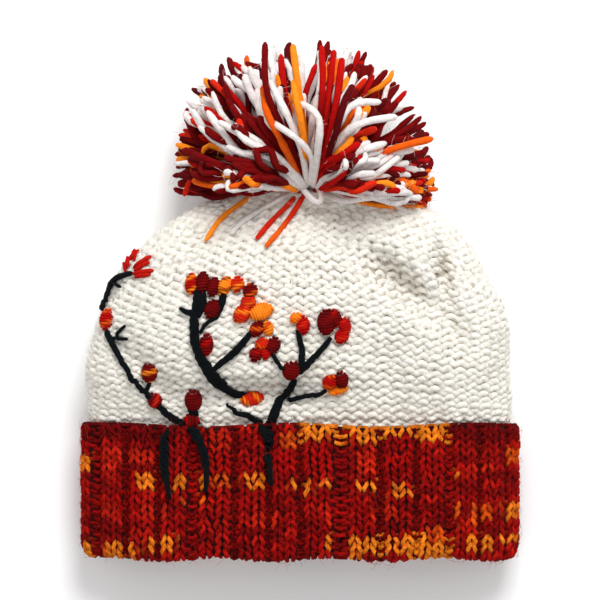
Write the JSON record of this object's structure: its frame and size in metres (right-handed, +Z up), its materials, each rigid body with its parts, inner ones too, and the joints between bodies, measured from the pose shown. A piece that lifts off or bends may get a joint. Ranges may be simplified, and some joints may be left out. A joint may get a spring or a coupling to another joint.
{
  "type": "bobble hat",
  "caption": "Knitted bobble hat lying on its back: gathered crown, folded ribbed cuff and a loose yarn pompom tied to the top.",
  "frame": {"origin": "on the flat underside of the crown's back, where the hat rests", "axes": "+Y from the brim to the pompom, +Z up through the front of the hat"},
  "size_m": [0.2399, 0.288, 0.0954],
  "materials": {
    "crown_wool": "cream-white wool, reverse stockinette",
    "cuff_wool": "red and orange variegated wool, ribbed",
    "pompom_wool": "cut yarn in white, dark red, red and orange",
    "tie_yarn": "white wool yarn",
    "stem_yarn": "black wool embroidery",
    "berry_yarn": "red and orange wool embroidery"
  },
  "bodies": {
    "root": {"crown": "crown_wool", "cuff": "cuff_wool", "pompom": "pompom_wool", "pompom_tie": "tie_yarn"}
  },
  "joints": []
}
